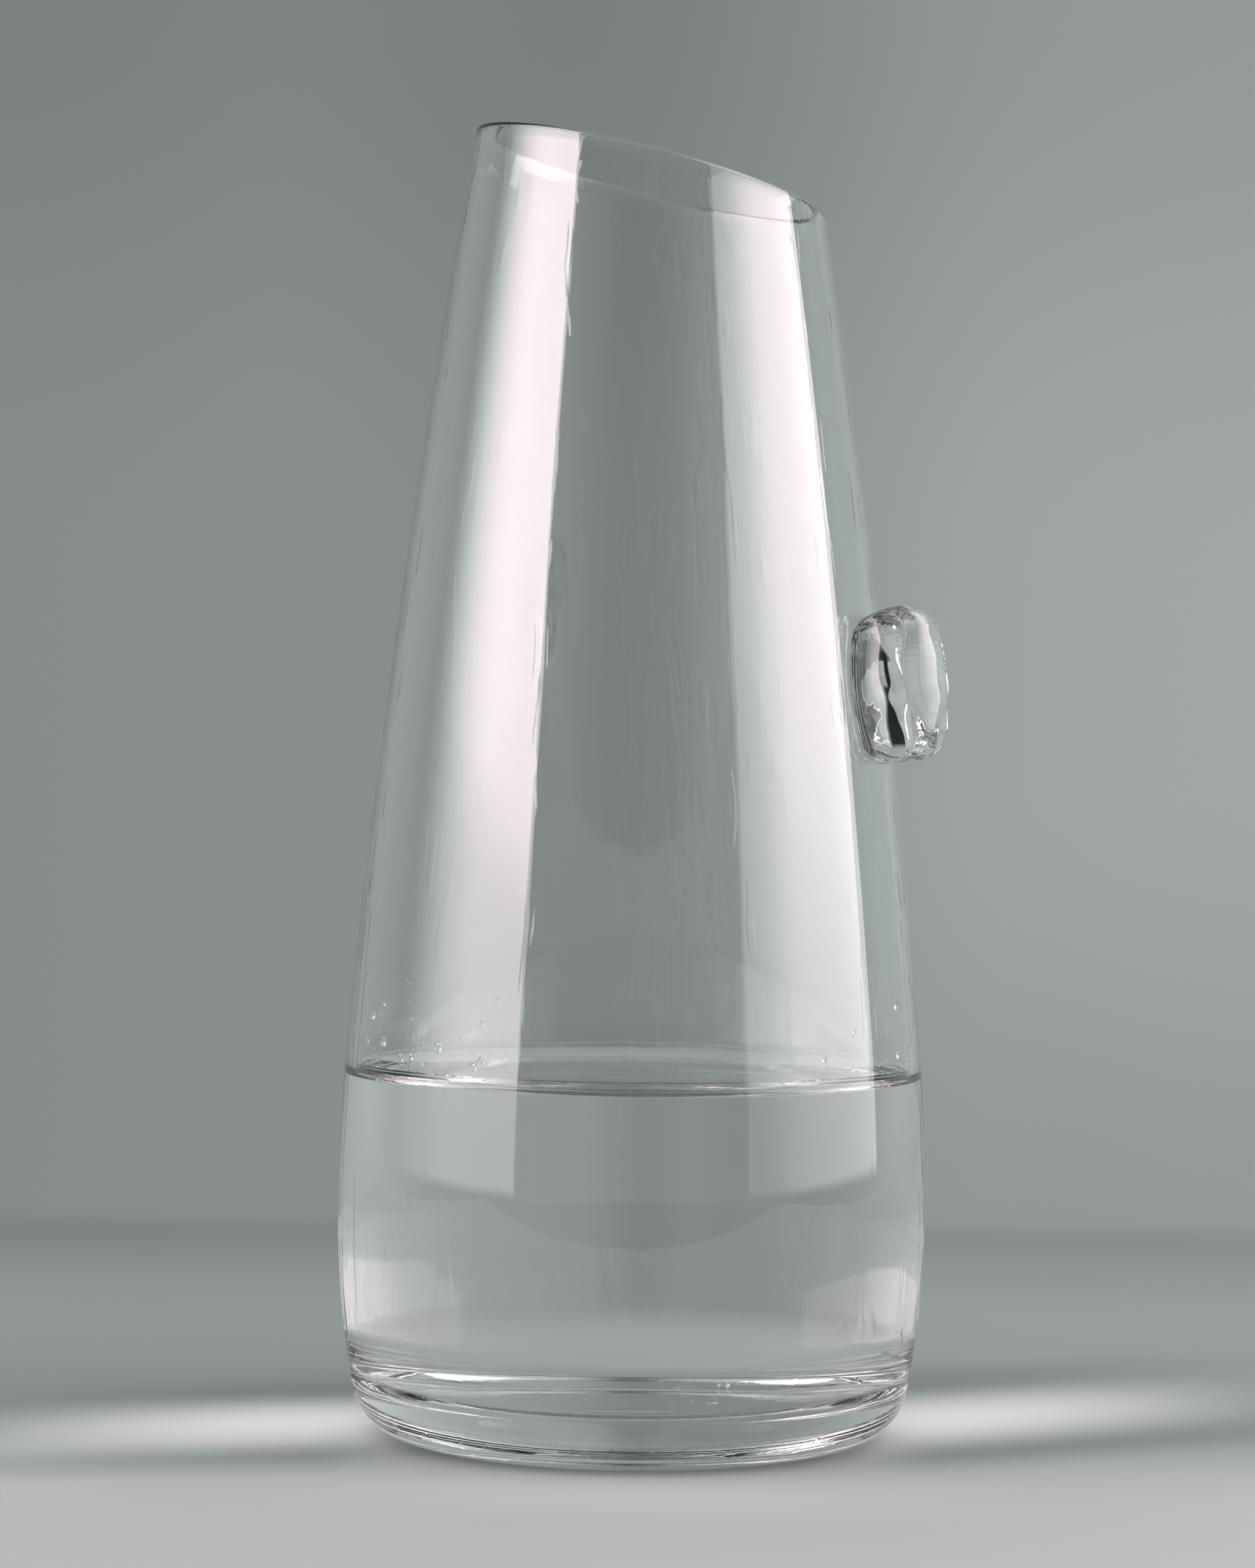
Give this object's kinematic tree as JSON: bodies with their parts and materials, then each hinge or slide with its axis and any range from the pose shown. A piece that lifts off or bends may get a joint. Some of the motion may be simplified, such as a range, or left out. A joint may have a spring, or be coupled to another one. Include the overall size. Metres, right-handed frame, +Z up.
{
  "type": "water carafe",
  "caption": "Clear blown-glass water carafe: heavy foot, soft belly, tall cone with a slanted mouth, folded glass thumb grip, and water standing in it.",
  "frame": {"origin": "on the carafe's axis, at the centre of the foot ring's plane, which stands on the table", "axes": "+Z up along the carafe's axis; +X toward the low side of the slanted mouth, near the thumb grip; -Y toward the picture's camera"},
  "size_m": [0.1206, 0.1178, 0.2616],
  "materials": {
    "clear_glass": "clear, fire-polished",
    "grip_glass": "clear, worked hot, softly wavy",
    "water": "clear still liquid"
  },
  "bodies": {
    "root": {"vessel": "clear_glass", "thumb_grip": "grip_glass", "water": "water"}
  },
  "joints": []
}
